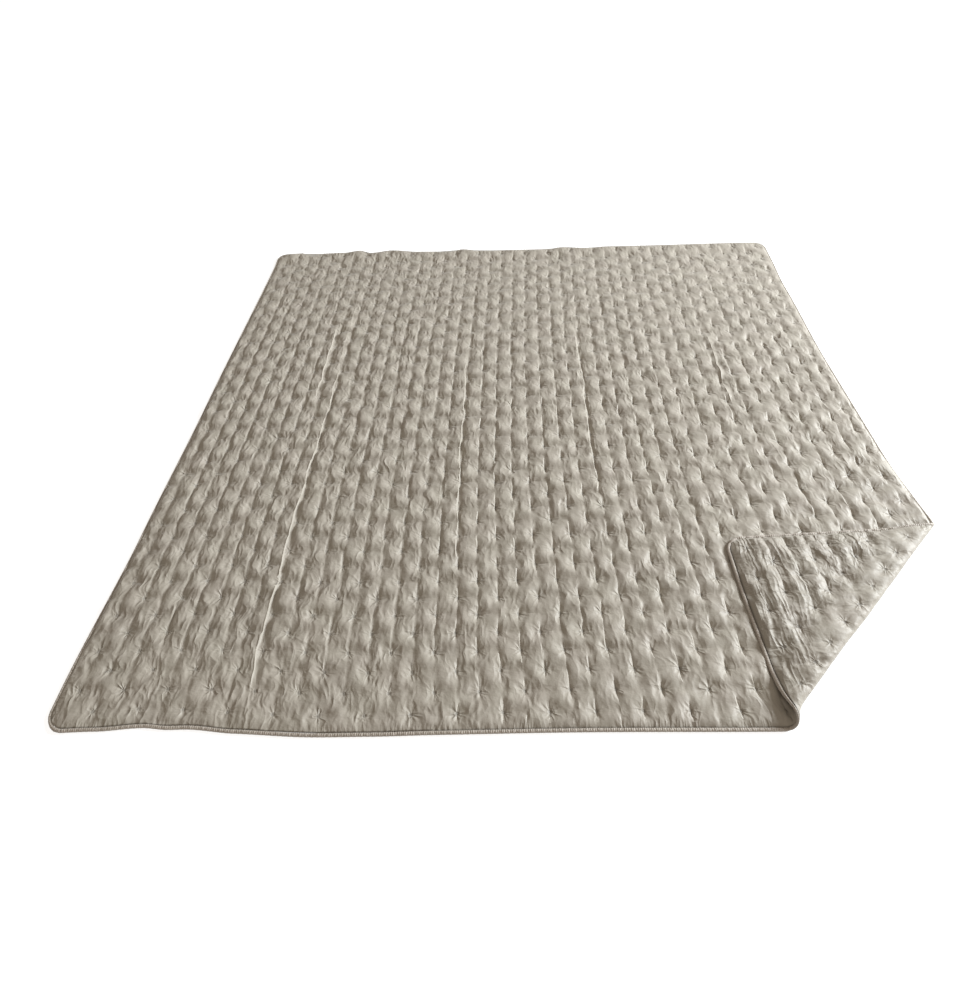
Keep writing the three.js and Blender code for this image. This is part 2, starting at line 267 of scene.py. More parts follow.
# Camera that took the photograph, in metres and degrees
CAMERA_PLACE = (-0.0921, -1.8827, 1.5136)
CAMERA_YAW = -1.384
CAMERA_PITCH = 46.01
CAMERA_ROLL = 1.764
FOCAL_PIXELS = 660.1
PHOTO_WIDTH = 980
SENSOR_WIDTH = 36

# In the satin's marks, scales and patches are noise scales per millimetre, and depths are millimetres

# Depth of small crumples in the satin, from left to right, on the turned corner and on the binding
CRUMPLE = {"across": (-800, 200), "left": 9.2, "right": 5.4, "flap": 0.5, "binding": 3.0}
CRUMPLE_FOLDS = (
    {"turn": 38, "scale": 0.034, "patches": 0.011},
    {"turn": -42, "scale": 0.042, "patches": 0.014},
    {"turn": 84, "scale": 0.03, "patches": 0.009},
)
CRUMPLE_STRETCH = 0.45
CRUMPLE_SWAY = {"scale": 0.02, "reach": 26}
CRUMPLE_PATCHES = {"start": 0.38, "end": 0.62, "low": 0.25}
SOFT_CRUMPLE = {"scale": 0.05, "detail": 1.5, "share": -0.25}

# What the satin's clouds, grain and weave add to its height, tone and roughness
CLOUDS = {"scale": 0.006, "detail": 2.0, "tone": 0.16, "roughness": 0.12}
GRAIN = {"scale": 0.21, "detail": 3.0, "tone": 0.10, "height": 0.4}
WEAVE = {"scale": (2.4, 0.22, 1.0), "detail": 2.0, "tone": 0.10, "height": 0.04, "roughness": 0.12}
TINT = {"scale": 0.013, "detail": 2.0, "hue": 0.03}
SATIN_ROUGHNESS = 0.46
SATIN_SHADER = {"Specular IOR Level": 0.4, "Sheen Weight": 0.15, "Sheen Roughness": 0.4}

# Small creases that run out from the tacks, deepest in the front rows, and the hollows at the tacks, which
# also carry painted shade that darkens each hollow
STAR_CREASES = {"rows": (3, 9), "front": 10.5, "back": 9.5, "rays": 0.98, "bend": 0.02}
STAR_REACH = {"begin": (2, 10), "end": (10, 40)}
STAR_PATCHES = {"scale": 0.017, "start": 0.36, "end": 0.62, "low": 0.5, "high": 1.2}
STARS_APART = {"one": 7.3, "two": 5.1}
TACK_HOLLOW = {"reach": (1, 8), "depth": 1.8, "shade": -0.42}

# Gathers along the rim, the ditch beside the binding with painted shade in it, and the crests of the
# packing folds with a painted highlight on them
RIM_GATHER = {"depth": 5.0, "least": 0.2, "reach": (4, 32), "long": 0.02, "fine": 0.085}
RIM_PATCHES = {"scale": 0.009, "start": 0.42, "end": 0.65}
RIM_DITCH_SHADE = {"reach": (0.5, 4.5), "front": (-700, -300), "shade": -0.4}
CREST = {"reach": (0.3, 3.2), "depth": 1.2, "shade": 0.12}

# Wrinkles of the turned corner: their depth inside it and beside its front side
TURNED_WRINKLES = (
    {"scale": (0.02, 0.036, 1), "detail": 2.0, "sway": 40, "inside": 14.5, "front": 7.25},
    {"scale": (0.006, 0.048, 1), "detail": 1.0, "sway": 18, "inside": 0.0, "front": 10.875},
)
TURNED_SWAY = 0.015
TURNED_FRONT = {"from": 60, "to": 300}
# Painted shade that darkens the whole turned corner
TURNED_PAINTED_SHADE = -0.08

# Where the wrinkles and the painted shade begin past the bend, sooner at the corner's narrow front end
TURNED_MARK = {"from": 75, "to": 180, "sooner": 55, "along": (520, 760)}

# Cross ribs of the binding, with a painted highlight on their tops and painted shade between them
BINDING_RIBS = {"length": 5.2, "uneven": 9.0, "patches": 0.08, "shade": 0.12, "depth": 0.3}

# Twist of the sewing thread
THREAD_TWIST = {"scale": 420.0, "distortion": 1.5, "depth": 0.12, "least_rough": 0.35, "rough": 0.15}

# Colours
SATIN_COLOUR = (0.382, 0.35, 0.302, 1)
BINDING_COLOUR = (0.41, 0.365, 0.32, 1)
THREAD_COLOURS = ((0.38, 0.345, 0.30, 1), (0.52, 0.48, 0.42, 1))
FLOOR_COLOUR = (0.60, 0.62, 0.65, 1)
FILL_COLOUR = (1.13, 1.0, 0.85, 1)
KEY_COLOUR = (0.97, 1.02, 1.05)

# Light and floor, in metres, degrees and watts
STUDIO_LIGHT = {
    "power": 1035, "size": 2.4, "distance": 7.5, "elevation": 21.5, "from_right": 13, "fill": 0.36,
}
FLOOR = {"size": 40, "place": (0, 4, -0.0005), "roughness": 0.9, "specular": 0.1, "glow": 0.75}

# Sizes that follow
HALF_WIDTH = (TACK_COLUMNS - 1) * TACK_PITCH / 2 + MARGIN["side"]
HALF_LENGTH = ((TACK_ROWS - 1) * TACK_PITCH + MARGIN["front"] + MARGIN["back"]) / 2
FIRST_COLUMN = MARGIN["side"] - HALF_WIDTH
FIRST_ROW = MARGIN["front"] - HALF_LENGTH
FOLD_START = HALF_WIDTH + HALF_LENGTH - FOLD_LEG
FRONT_TO_BACK = (-HALF_LENGTH, 0, HALF_LENGTH)

# Middle of the raw footprint, which the part's source brings to the origin
MIDDLE = np.array((0.955, 0.035, 0))

chance = np.random.default_rng(27)
CREASE_KINKS = chance.normal(0, CREASE_KINK, (len(CREASES), TACK_ROWS))


def smoothstep(value, low, high):
    share = np.clip((value - low) / (high - low), 0, 1)
    return share * share * (3 - 2 * share)


def from_table(rows, key, place, column):
    """Smooth values between the rows of a table."""
    value = np.full(np.shape(place), float(rows[0][column]))
    for before, after in zip(rows, rows[1:]):
        value = value + smoothstep(place, before[key], after[key]) * (after[column] - before[column])
    return value


def back_wave(u, v):
    """How far the wavy back edge lies behind its straight place."""
    wave = from_table(BACK_WAVES, "place", u, "shift")
    return wave * smoothstep(v - HALF_LENGTH, -BACK_WAVE_DEPTH, 0)


def lie(u, v):
    """Where points of the flat panel lie on the floor."""
    across = (u + HALF_WIDTH) / (2 * HALF_WIDTH)
    back = (v + HALF_LENGTH) / (2 * HALF_LENGTH)
    left, right = (from_table(SIDE_SHIFTS[side], "place", v, "shift") for side in ("left", "right"))
    near, far = (from_table(SIDE_SHIFTS[side], "place", u, "shift") for side in ("front", "back"))
    drift = from_table(DRIFT_BACK, "place", v, "shift") * from_table(DRIFT_ACROSS, "place", u, "share")
    drift = drift * (1 - smoothstep(fold_place(u, v)[0], *DRIFT_END))
    waves = from_table(FRONT_WAVES, "place", u, "shift")
    waves = waves * (1 - smoothstep(v + HALF_LENGTH, 0, FRONT_WAVE_DEPTH)) + back_wave(u, v)
    return u + left + (right - left) * across + drift, v + near + (far - near) * back + waves


def fold_place(u, v):
    """Distance past the start of the bend, and place along the bend from the right side."""
    out = (u - v - FOLD_START) / ROOT2
    along = (HALF_WIDTH - HALF_LENGTH + FOLD_LEG - u - v) / ROOT2
    return out, along


def fold_section(out, along):
    """Section across the bend: round an arc, down a slope, then eased out on the layer below."""
    radius = from_table(FOLD_SECTIONS, "along", along, "radius")
    slope = np.radians(from_table(FOLD_SECTIONS, "along", along, "slope"))
    past = out - radius * (np.pi + slope)
    on_arc = np.minimum(out / radius, np.pi + slope)
    ease_drop = FLAP_EASE_RADIUS * (1 - np.cos(slope))
    straight = (radius * (1 + np.cos(slope)) - FLAP_REST - ease_drop) / np.sin(slope)
    on_slope = np.clip(past, 0, straight)
    eased = np.clip((past - straight) / FLAP_EASE_RADIUS, 0, slope)
    level = np.maximum(past - straight - slope * FLAP_EASE_RADIUS, 0)
    ease_run = FLAP_EASE_RADIUS * (np.sin(slope) - np.sin(slope - eased))
    ease_fall = FLAP_EASE_RADIUS * (np.cos(slope - eased) - np.cos(slope))
    run = radius * np.sin(on_arc) - on_slope * np.cos(slope) - ease_run - level
    rise = radius * (1 - np.cos(on_arc)) - on_slope * np.sin(slope) - ease_fall
    return run, rise, on_arc - eased


def place(u, v, height):
    """Points of the laid bedspread from flat places and heights above the backing."""
    out, along = fold_place(u, v)
    ruffled = FLAP_RUFFLE["depth"] * smoothstep(out, FLAP_RUFFLE["from"], FLAP_RUFFLE["to"])
    ruffled = ruffled * (1 - smoothstep(HALF_WIDTH - u, *FLAP_RUFFLE["rim"]))
    wave = v / FLAP_RUFFLE["length"] + FLAP_RUFFLE["sway"] * np.sin(v / FLAP_RUFFLE["sway_length"])
    u = u + ruffled * np.sin(wave)
    past = np.maximum(out, 0)
    x, y = lie(u - past / ROOT2, v + past / ROOT2)
    run, rise, turn = fold_section(past, along)
    lying = smoothstep(out, FLAP_EDGE["from"], FLAP_EDGE["to"])
    lying = lying * (1 - smoothstep(rim_distance(u, v), 0, FLAP_EDGE["width"]))
    rise = rise - FLAP_EDGE["drop"] * lying + ruffled * np.cos(wave)
    rise = rise + BACK_WAVE_LIFT * np.maximum(back_wave(u, v), 0)
    reach = run - height * np.sin(turn)
    drift = FLAP_SHEAR * np.maximum(-run, 0)
    x = x + from_table(CORNER_DRIFT, "along", along, "shift") * smoothstep(out, -DRIFT_EASE, 0)
    x = x + (reach - drift) / ROOT2
    y = y - (reach + drift) / ROOT2
    return np.stack([x, y, rise + height * np.cos(turn)], -1)


def under_flap(u, v):
    """How far inside the turned corner's outline the flat points lie that it covers."""
    out, along = fold_place(u, v)
    turned = np.abs(out) + np.pi * from_table(FOLD_SECTIONS, "along", along, "radius")
    turned = np.where(out > 0, out, turned)
    along = np.where(out > 0, along, along - FLAP_SHEAR * np.abs(out))
    apart = FOLD_START + ROOT2 * turned
    together = HALF_WIDTH - HALF_LENGTH + FOLD_LEG - ROOT2 * along
    return rim_distance((together + apart) / 2, (together - apart) / 2)


def rounded(u, v):
    """Draws the square corners of the flat panel in to round ones."""
    a = (np.abs(u) - HALF_WIDTH) / CORNER_RADIUS + 1
    b = (np.abs(v) - HALF_LENGTH) / CORNER_RADIUS + 1
    corner = (a > 0) & (b > 0)
    draw = np.where(corner, np.maximum(a, b) / np.maximum(np.hypot(a, b), 1e-9), 1)
    near_u = np.sign(u) * (HALF_WIDTH + CORNER_RADIUS * (a * draw - 1))
    near_v = np.sign(v) * (HALF_LENGTH + CORNER_RADIUS * (b * draw - 1))
    return np.where(corner, near_u, u), np.where(corner, near_v, v)


def rim_distance(u, v):
    return np.minimum(HALF_WIDTH - np.abs(u), HALF_LENGTH - np.abs(v))


def rim_path(step):
    """Places round the rim of the rounded panel, an even step apart, with their outward directions."""
    straight_u = 2 * (HALF_WIDTH - CORNER_RADIUS)
    straight_v = 2 * (HALF_LENGTH - CORNER_RADIUS)
    arc = CORNER_RADIUS * math.pi / 2
    runs = ((straight_u, 0), (arc, 1), (straight_v, 0), (arc, 1)) * 2
    total = 2 * (straight_u + straight_v) + 4 * arc
    count = round(total / step)
    places = np.arange(count) * total / count
    u, v, heading = np.empty(count), np.empty(count), np.empty(count)
    at_u, at_v, facing, done = -HALF_WIDTH + CORNER_RADIUS, -HALF_LENGTH, 0.0, 0.0
    for length, turns in runs:
        here = (places >= done - 1e-6) & (places < done + length - 1e-6)
        s = places[here] - done
        if turns:
            angle = facing + s / CORNER_RADIUS
            middle_u = at_u - CORNER_RADIUS * math.sin(facing)
            middle_v = at_v + CORNER_RADIUS * math.cos(facing)
            u[here] = middle_u + CORNER_RADIUS * np.sin(angle)
            v[here] = middle_v - CORNER_RADIUS * np.cos(angle)
            heading[here] = angle
            facing += math.pi / 2
            at_u = middle_u + CORNER_RADIUS * math.sin(facing)
            at_v = middle_v - CORNER_RADIUS * math.cos(facing)
        else:
            u[here] = at_u + s * math.cos(facing)
            v[here] = at_v + s * math.sin(facing)
            heading[here] = facing
            at_u += length * math.cos(facing)
            at_v += length * math.sin(facing)
        done += length
    return places, u, v, np.sin(heading), -np.cos(heading)


def to_part(points):
    """Laid points in millimetres to the part's frame in metres."""
    return (points - MIDDLE) * MM


# Meshes

def new_piece(name, points, faces, uv=None):
    """A mesh object at the origin, from points and lists of corners, smooth all over."""
    mesh = bpy.data.meshes.new(name)
    mesh.from_pydata(np.asarray(points).tolist(), [], faces)
    mesh.shade_smooth()
    if uv is not None:
        layer = mesh.uv_layers.new(name="cloth")
        corners = np.empty(len(mesh.loops), int)
        mesh.loops.foreach_get("vertex_index", corners)
        layer.data.foreach_set("uv", np.asarray(uv)[corners].astype(np.float32).ravel())
    mesh.validate()
    piece = bpy.data.objects.new(name, mesh)
    bpy.context.scene.collection.objects.link(piece)
    return piece


def quads(index):
    """Corners of the cells of a grid of point numbers."""
    return np.stack([index[:-1, :-1], index[1:, :-1], index[1:, 1:], index[:-1, 1:]], -1)


# Flat panel of the sewn face

def grid_lines(half, first_margin, last_margin, count, steps):
    """Places of the mesh's lines from one side of the panel to the other."""
    lines = [-half + share * first_margin for share in MARGIN_SHARES]
    for tack in range(count - 1):
        lines += [-half + first_margin + tack * TACK_PITCH + step for step in steps]
    lines.append(half - last_margin)
    return np.array(lines + [half - share * last_margin for share in MARGIN_SHARES[::-1]])


U_LINES = grid_lines(HALF_WIDTH, MARGIN["side"], MARGIN["side"], TACK_COLUMNS, STEPS_ACROSS)
V_LINES = grid_lines(HALF_LENGTH, MARGIN["front"], MARGIN["back"], TACK_ROWS, STEPS_BACK)
FLAT_U, FLAT_V = np.meshgrid(U_LINES, V_LINES, indexing="ij")


def tack_lines():
    """Line numbers of all the tacks, across and back."""
    column, row = np.meshgrid(np.arange(TACK_COLUMNS), np.arange(TACK_ROWS), indexing="ij")
    sewn = (column + row) % 2 == 1
    first = len(MARGIN_SHARES)
    return first + column[sewn] * len(STEPS_ACROSS), first + row[sewn] * len(STEPS_BACK)


def wander(u, v, size, waves):
    """Smooth unevenness over the panel, about from -1 to 1."""
    total = np.zeros(np.shape(u))
    for _ in range(waves):
        heading, phase = chance.uniform(0, 2 * np.pi, 2)
        length = size * chance.uniform(0.6, 1.6)
        total += np.sin((u * np.cos(heading) + v * np.sin(heading)) * 2 * np.pi / length + phase)
    return total / math.sqrt(waves)


def uneven(kind, u, v):
    """One kind of unevenness over the panel."""
    made = UNEVEN[kind]
    value = made["middle"] + made["strength"] * wander(u, v, made["size"], made["waves"])
    return np.clip(value, *made["limits"])


def settle(flat_u, flat_v, height, sewn):
    """Settles slack satin with Blender's cloth: wadding presses it up and stitches hold it down."""
    points = np.stack([flat_u, flat_v, height], -1)
    index = np.arange(height.size).reshape(height.shape)
    cells = quads(index)
    odd = (np.indices(cells.shape[:2]).sum(0) % 2 == 1)[..., None]
    one = np.where(odd, cells[..., [0, 1, 2]], cells[..., [0, 1, 3]])
    two = np.where(odd, cells[..., [0, 2, 3]], cells[..., [1, 2, 3]])
    corners = np.concatenate([one.reshape(-1, 3), two.reshape(-1, 3)]).tolist()
    satin = new_piece("settling_satin", points.reshape(-1, 3) * MM, corners)
    satin.vertex_groups.new(name="sewn").add(index[sewn].tolist(), 1.0, "REPLACE")
    cloth = satin.modifiers.new("Cloth", "CLOTH")
    cloth.settings.quality = 4
    cloth.settings.mass = 0.05
    cloth.settings.tension_stiffness = 20
    cloth.settings.compression_stiffness = 20
    cloth.settings.shear_stiffness = 4
    cloth.settings.bending_stiffness = 12
    cloth.settings.air_damping = 2
    cloth.settings.vertex_group_mass = "sewn"
    cloth.settings.pin_stiffness = 50
    cloth.settings.shrink_min = -SATIN_SLACK
    cloth.settings.use_pressure = True
    cloth.settings.uniform_pressure_force = 3
    cloth.settings.effector_weights.gravity = 0
    cloth.collision_settings.use_collision = False
    scene = bpy.context.scene
    for step in range(1, SETTLING_FRAMES + 1):
        scene.frame_set(step)
    shape = satin.evaluated_get(bpy.context.evaluated_depsgraph_get()).to_mesh()
    settled = np.empty(len(shape.vertices) * 3)
    shape.vertices.foreach_get("co", settled)
    settled = settled.reshape(points.shape) / MM
    scene.frame_set(1)
    mesh = satin.data
    bpy.data.objects.remove(satin)
    bpy.data.meshes.remove(mesh)
    eased = settled.copy()
    beside = settled[:, 2:] + settled[:, :-2]
    eased[:, 1:-1] = (1 - 2 * SETTLED_EASE) * settled[:, 1:-1] + SETTLED_EASE * beside
    eased[sewn] = settled[sewn]
    return eased


TACK_PLACES = U_LINES[tack_lines()[0]]
IS_LONG = TACK_PLACES < LONG_TACKS["left_of"] + chance.normal(0, LONG_TACKS["scatter"], len(TACK_PLACES))


def gathers(across, along, carry, pit_wall):
    """Share of the loft before settling: sharp pits at the tacks, and grooves between them.

    Across counts lines of tacks, and along counts the places on each line.
    """
    line = np.round(across)
    off_tack = np.abs((along - line + 2) % 2 - 1) * TACK_PITCH
    groove = carry + (1 - carry) * (1 - smoothstep(off_tack, *GATHER["pit"]))
    power = np.where(across < line, GATHER["left_wall"], GATHER["right_wall"])
    at_pit = 1 - smoothstep(off_tack, *GATHER["pit_end"])
    power = power + (np.maximum(pit_wall, power) - power) * at_pit
    return 1 - groove * (1 - np.abs(np.sin(np.pi * across)) ** power)


def row_valleys(column, row):
    """Share of the shallow valleys that run to the right from each tack along its row."""
    line = np.round(row)
    past = (column - line - 1) % 2
    across = np.exp(-((row - line) * TACK_PITCH / ROW_VALLEY["width"]) ** 2)
    return across * (1 - smoothstep(past, *ROW_VALLEY["reach"]))


def arc_folds(column, row):
    """Share of the folds that run from each tack round to the next on its right, nearer the front."""
    left, near = np.floor(column), np.floor(row)
    x, y = column - left, row - near
    power = ARC_FOLD["roundness"]
    past = ((x ** power + y ** power) ** (1 / power) - 1) * TACK_PITCH
    crest = np.exp(-np.where(past > 0, past / ARC_FOLD["fall"], -past / ARC_FOLD["rise"]))
    between = np.sqrt(np.maximum(np.sin(2 * np.arctan2(y, x)), 0))
    return crest * between * ((left + near) % 2 == 0)


def settled_satin():
    """The face: gathered along its columns, held down at tacks and rim, then settled."""
    column, row = (FLAT_U - FIRST_COLUMN) / TACK_PITCH, (FLAT_V - FIRST_ROW) / TACK_PITCH
    loft, carry, arcs, pit_wall = (
        from_table(GATHER_ACROSS, "place", FLAT_U, name) for name in ("loft", "carry", "arcs", "pit_wall")
    )
    loft = loft * uneven("loft", FLAT_U, FLAT_V)
    carry = carry + uneven("carry", FLAT_U, FLAT_V)
    front = smoothstep(FLAT_V, FRONT_ROWS["from"], FRONT_ROWS["to"])
    front_share = smoothstep(FLAT_U, *FRONT_ROWS["across"])
    front_share = FRONT_ROWS["left"] + (FRONT_ROWS["right"] - FRONT_ROWS["left"]) * front_share
    front_share = front_share + (1 - front_share) * front
    behind = smoothstep(FLAT_V, BACK_ROWS["from"], BACK_ROWS["to"])
    loft = loft * front_share * (1 - (1 - BACK_ROWS["loft"]) * behind)
    carry = carry * front * (1 - (1 - BACK_ROWS["carry"]) * behind)
    inside = smoothstep(rim_distance(FLAT_U, FLAT_V), 0, RIM_SLOPE)
    valley = ROW_VALLEY["depth"] * uneven("valley", FLAT_U, FLAT_V)
    loft = loft * (1 - valley * row_valleys(column, row))
    height = LOFT["tack"] + loft * gathers(column, row, np.clip(carry, 0, 1), pit_wall) * inside
    flat_u = FLAT_U + uneven("groove", FLAT_U, FLAT_V) * inside
    arcs = arcs * uneven("arcs", FLAT_U, FLAT_V) * front_share
    height += ARC_FOLD["height"] * arcs * arc_folds(column, row) * inside
    height += chance.normal(0, SATIN_JITTER, FLAT_U.shape)
    sewn = np.zeros(FLAT_U.shape, bool)
    sewn[[0, -1], :] = sewn[:, [0, -1]] = True
    height[sewn] = LOFT["rim"]
    across, back = tack_lines()
    for step, rows in ((0, slice(None)), (-1, IS_LONG), (1, IS_LONG)):
        sewn[across[rows], back[rows] + step] = True
        height[across[rows], back[rows] + step] = LOFT["tack"]
    flat_u[sewn] = FLAT_U[sewn]
    return settle(flat_u, FLAT_V, height, sewn)


# Folds left by packing

def crease_line(crease, v):
    """Flat place across of a crease's crest, wandering a little."""
    rows = FIRST_ROW + TACK_PITCH * np.arange(TACK_ROWS)
    kinks = np.interp(v, rows, CREASE_KINKS[CREASES.index(crease)])
    column = np.interp(v, FRONT_TO_BACK, crease["column"]) + kinks
    return FIRST_COLUMN + column * TACK_PITCH


def crease_width(crease, v):
    return np.interp(v, FRONT_TO_BACK, crease["width"])


def crease_fade(crease, v):
    """Share of a crease's height along it."""
    start = smoothstep(v, crease["from"], crease["from"] + CREASE_FADE)
    end = 1 - smoothstep(v, crease["to"] - CREASE_FADE, crease["to"])
    sway = CREASE_WAVER["sway"] * np.sin(v / CREASE_WAVER["sway_length"])
    waver = CREASE_WAVER["share"] * np.sin(v / CREASE_WAVER["length"] + sway)
    return start * end * (1 - CREASE_WAVER["share"] + waver)


def crease_height(u, v):
    """Height that packing folds add: a long rise left of the crest, and a short fall right of it."""
    total = np.zeros(np.shape(u))
    for crease in CREASES:
        across = u - crease_line(crease, v)
        rise = np.exp(-np.maximum(-across, 0) / CREASE_RISE)
        fall = 1 - np.clip(across / crease_width(crease, v), 0, 1)
        total += crease["height"] * crease_fade(crease, v) * np.minimum(rise, fall)
    return total


def crease_level(u, v):
    """How far the satin is drawn level between each crest and the line of tacks on its right."""
    level = np.zeros(np.shape(u))
    for crease in CREASES:
        crest = crease_line(crease, v)
        width = crease_width(crease, v)
        tacks = FIRST_COLUMN + TACK_PITCH * np.ceil((crest - FIRST_COLUMN) / TACK_PITCH)
        last = np.minimum(tacks, crest + CREASE_LEVEL["reach"])
        end = smoothstep(u, last - CREASE_LEVEL["before"], last + CREASE_LEVEL["after"])
        inside = smoothstep(u, crest, crest + width) * (1 - end)
        narrow = np.clip(CREASE_LEVEL["most"] - width / CREASE_LEVEL["wide"], 0, 1)
        level = np.maximum(level, inside * crease_fade(crease, v) * narrow)
    return level


def crease_marks(u, v):
    """Distance to the nearest crest, and how sharp that crease is, for the satin's own marks."""
    away, sharp = np.full(np.shape(u), NO_CREASE), np.zeros(np.shape(u))
    for crease in CREASES:
        distance = np.abs(u - crease_line(crease, v))
        nearer = (distance < away) & (crease_fade(crease, v) > 0)
        away = np.where(nearer, distance, away)
        sharp = np.where(nearer, crease_fade(crease, v) * crease["height"] / SHARPEST_CREASE, sharp)
    return away, sharp


def padded_face():
    """Flat places and heights of the padded face's points."""
    points = settled_satin()
    u, v, height = points[..., 0].copy(), points[..., 1], points[..., 2]
    across, back = tack_lines()
    near_tack = np.zeros(height.shape, bool)
    for step in (-1, 0, 1):
        near_tack[across, back + step] = True
    rows = np.arange(len(V_LINES))
    for crease in CREASES:
        crest = crease_line(crease, V_LINES)
        nearest = np.abs(u - crest).argmin(0)
        width = crease_width(crease, V_LINES)
        for step, target in ((0, crest), (1, crest + width)):
            free = ~near_tack[nearest + step, rows] & (crease_fade(crease, V_LINES) > 0)
            free &= (step == 0) | (width < NARROW_CREASE)
            u[nearest[free] + step, rows[free]] = target[free]
    inside = smoothstep(rim_distance(FLAT_U, FLAT_V), 0, RIM_SLOPE)
    puffed = np.maximum(height - LOFT["tack"] - CREASE_LEVEL["spare"], 0)
    height = height - CREASE_LEVEL["share"] * crease_level(u, v) * puffed
    height = height + crease_height(u, v) * inside * (1 - CREASE_AT_TACKS * near_tack)
    height = np.maximum(height, LOFT["low"])
    covered = smoothstep(under_flap(FLAT_U, FLAT_V), PRESSED["from"], PRESSED["to"])
    over = np.maximum(height - LOFT["under_flap"], 0)
    return u, v, height - PRESSED["share"] * over * covered


FACE_U, FACE_V, FACE_HEIGHT = padded_face()


# Backing, which shows where the corner is turned

TURNED_U = np.flatnonzero(U_LINES > HALF_WIDTH - FOLD_LEG - TURNED_SPARE)
TURNED_V = np.flatnonzero(V_LINES < -HALF_LENGTH + FOLD_LEG + TURNED_SPARE)


def turned_tacks():
    """Line numbers of the tacks in the turned corner's block, counted in it."""
    across, back = tack_lines()
    inside = (across > TURNED_U[0] + 1) & (back < TURNED_V[-1] - 1)
    return across[inside] - TURNED_U[0], back[inside]


def settled_backing():
    """The backing of the turned corner, gathered along the rows and settled."""
    block = np.ix_(TURNED_U, TURNED_V)
    u, v = FLAT_U[block], FLAT_V[block]
    column, row = (u - FIRST_COLUMN) / TACK_PITCH, (v - FIRST_ROW) / TACK_PITCH
    inside = smoothstep(rim_distance(u, v), 0, RIM_SLOPE)
    loose = smoothstep(fold_place(u, v)[0], BACKING_GATHER["from"], BACKING_GATHER["to"])
    slack = BACKING_GATHER["taut"] + (1 - BACKING_GATHER["taut"]) * loose
    loft = BACKING_GATHER["loft"] * uneven("backing", u, v) * slack
    loft = loft * (1 - BACKING_GATHER["valley"] * row_valleys(row, column))
    carry = BACKING_GATHER["carry"] * slack
    bulge = loft * gathers(row, column, carry, BACKING_GATHER["pit_wall"]) * inside
    ridge = uneven("ridges", BACKING_GATHER["ridge_stretch"] * u, v)
    bulge += BACKING_GATHER["ridge"] * loose * ridge * inside
    bulge += chance.normal(0, SATIN_JITTER, u.shape)
    sewn = np.zeros(u.shape, bool)
    sewn[[0, -1], :] = sewn[:, [0, -1]] = True
    sewn[turned_tacks()] = True
    bulge[sewn] = 0
    return settle(u, v, bulge, sewn)


def backing(lines_u, lines_v):
    """Flat places and heights of the backing: flat on the floor, puckered on the turned corner."""
    u, v = FLAT_U[np.ix_(lines_u, lines_v)], FLAT_V[np.ix_(lines_u, lines_v)]
    height = np.zeros(u.shape)
    settled = settled_backing()
    block_u, block_v = lines_u >= TURNED_U[0], lines_v <= TURNED_V[-1]
    block = np.ix_(np.flatnonzero(block_u), np.flatnonzero(block_v))
    turned = smoothstep(fold_place(u[block], v[block])[0], *BACKING_GATHER["starts"])
    inside = smoothstep(rim_distance(u[block], v[block]), 0, RIM_SLOPE)
    bulge = np.maximum(settled[..., 2], BACKING_GATHER["lowest"])
    height[block] = (BACK_DRAW - bulge) * turned * inside
    u[block] += (settled[..., 0] - u[block]) * turned * inside
    v[block] += (settled[..., 1] - v[block]) * turned * inside
    return u, v, height


def backing_lines(count, fine, steps):
    """Line numbers of the backing: all those of the turned corner and the margins, few between."""
    margin = len(MARGIN_SHARES)
    keep = np.zeros(count, bool)
    keep[fine] = True
    keep[: margin + 1] = keep[count - 1 - margin:] = True
    keep[margin::COARSE_LINES * len(steps)] = True
    return np.flatnonzero(keep)


def keep_sharp(mesh, points):
    """Marks the steep edges at the given points as sharp."""
    mesh.set_sharp_from_angle(angle=math.radians(SHARP_LIP))
    sharp, ends = np.empty(len(mesh.edges), bool), np.empty(2 * len(mesh.edges), int)
    mesh.edges.foreach_get("use_edge_sharp", sharp)
    mesh.edges.foreach_get("vertices", ends)
    mesh.edges.foreach_set("use_edge_sharp", sharp & points[ends.reshape(-1, 2)].any(1))


